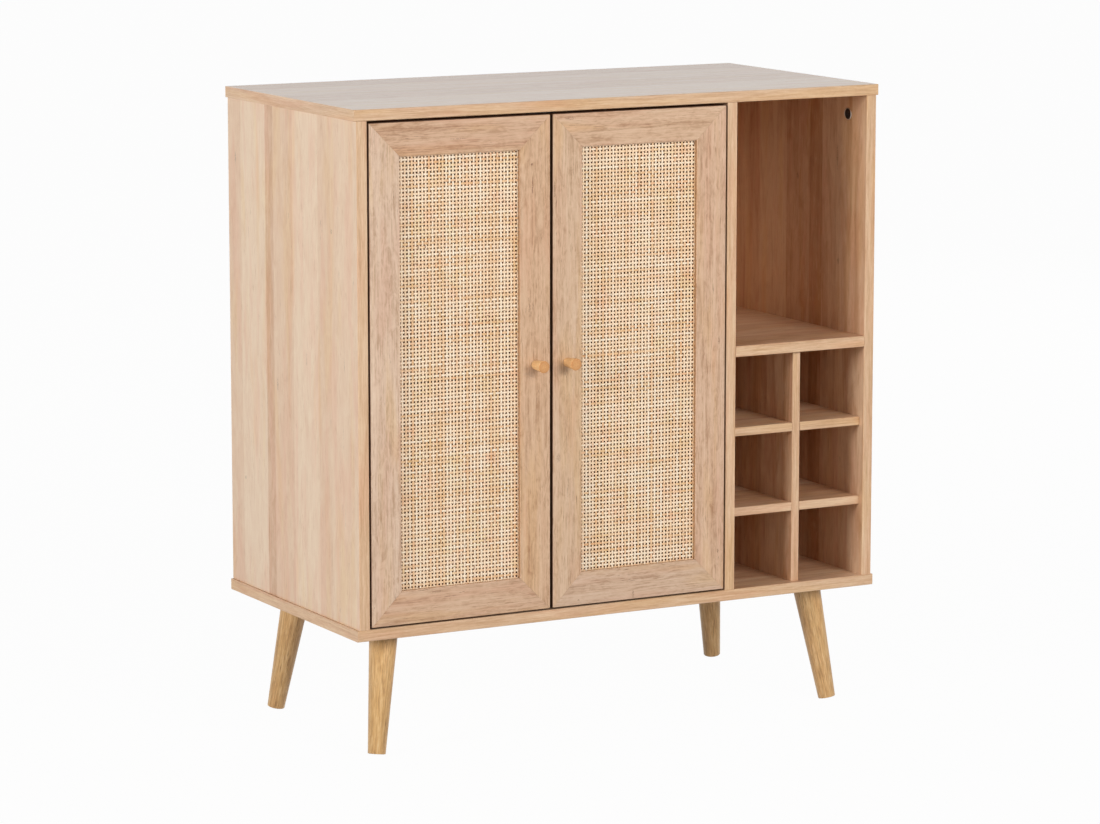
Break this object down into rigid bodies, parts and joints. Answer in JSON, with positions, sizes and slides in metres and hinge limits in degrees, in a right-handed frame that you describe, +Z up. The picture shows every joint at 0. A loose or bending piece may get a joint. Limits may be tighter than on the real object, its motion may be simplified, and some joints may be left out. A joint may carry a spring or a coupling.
{
  "type": "wine cabinet",
  "caption": "Low oak-laminate cabinet on splayed tapered legs, with framed cane doors, an open bay and an egg-crate bottle rack.",
  "frame": {"origin": "on the floor, below the middle of the whole object's box, knobs included", "axes": "+X to the right seen from the front, +Y to the back, so the front faces -Y, +Z up"},
  "size_m": [0.8, 0.4248, 0.8662],
  "materials": {
    "oak_board": "satin light oak laminate",
    "oak_side": "satin light oak laminate, staved",
    "oak_frame": "matt solid oak with small knots",
    "leg_wood": "satin lacquered wood",
    "knob_wood": "satin lacquered beech",
    "cane": "matt woven rattan cane",
    "hardboard": "matt hardboard",
    "nickel": "bright nickel plate",
    "zinc": "dull zinc plate",
    "dark_zinc": "dark die-cast zinc",
    "grey_plastic": "matt grey"
  },
  "bodies": {
    "case": {"top_panel": "oak_board", "bottom_panel": "oak_board", "left_side_panel": "oak_side", "right_side_panel": "oak_side", "divider_panel": "oak_board", "back_panel": "hardboard", "open_shelf": "oak_board", "rack_upright": "oak_board", "rack_shelf_lower": "oak_board", "rack_shelf_upper": "oak_board", "cupboard_shelf": "oak_board", "shelf_pin_front_left": "zinc", "shelf_pin_back_left": "zinc", "shelf_pin_front_right": "zinc", "shelf_pin_back_right": "zinc", "cam_lock_left_front": "dark_zinc", "cam_lock_left_back": "dark_zinc", "cam_lock_divider_front": "dark_zinc", "cam_lock_divider_back": "dark_zinc", "cam_lock_right_front": "dark_zinc", "cam_lock_right_back": "dark_zinc", "leg_plate_front_left": "zinc", "leg_plate_front_right": "zinc", "leg_plate_back_right": "zinc", "leg_plate_back_left": "zinc", "leg_front_left": "leg_wood", "leg_front_right": "leg_wood", "leg_back_right": "leg_wood", "leg_back_left": "leg_wood", "left_lower_hinge_arm": "nickel", "left_upper_hinge_arm": "nickel", "right_lower_hinge_arm": "nickel", "right_upper_hinge_arm": "nickel", "left_lower_hinge_plate": "nickel", "left_upper_hinge_plate": "nickel", "right_lower_hinge_plate": "nickel", "right_upper_hinge_plate": "nickel", "magnetic_catch": "grey_plastic"},
    "left_door": {"left_door_hinge_stile": "oak_frame", "left_door_meeting_stile": "oak_frame", "left_door_bottom_rail": "oak_frame", "left_door_top_rail": "oak_frame", "left_cane_panel": "cane", "left_cane_bead": "oak_frame", "left_knob": "knob_wood", "left_knob_screw": "nickel", "left_door_strike": "nickel", "left_lower_hinge_cup": "nickel", "left_upper_hinge_cup": "nickel"},
    "right_door": {"right_door_hinge_stile": "oak_frame", "right_door_meeting_stile": "oak_frame", "right_door_bottom_rail": "oak_frame", "right_door_top_rail": "oak_frame", "right_cane_panel": "cane", "right_cane_bead": "oak_frame", "right_knob": "knob_wood", "right_knob_screw": "nickel", "right_door_strike": "nickel", "right_lower_hinge_cup": "nickel", "right_upper_hinge_cup": "nickel"}
  },
  "joints": [
    {"name": "left_door_hinge", "type": "hinge", "parent": "case", "child": "left_door", "pos_m": [-0.364, -0.17956, 0.51568], "axis": [0, 0, -1], "range_deg": [0, 95]},
    {"name": "right_door_hinge", "type": "hinge", "parent": "case", "child": "right_door", "pos_m": [0.142, -0.17956, 0.51568], "axis": [0, 0, 1], "range_deg": [0, 95]}
  ]
}
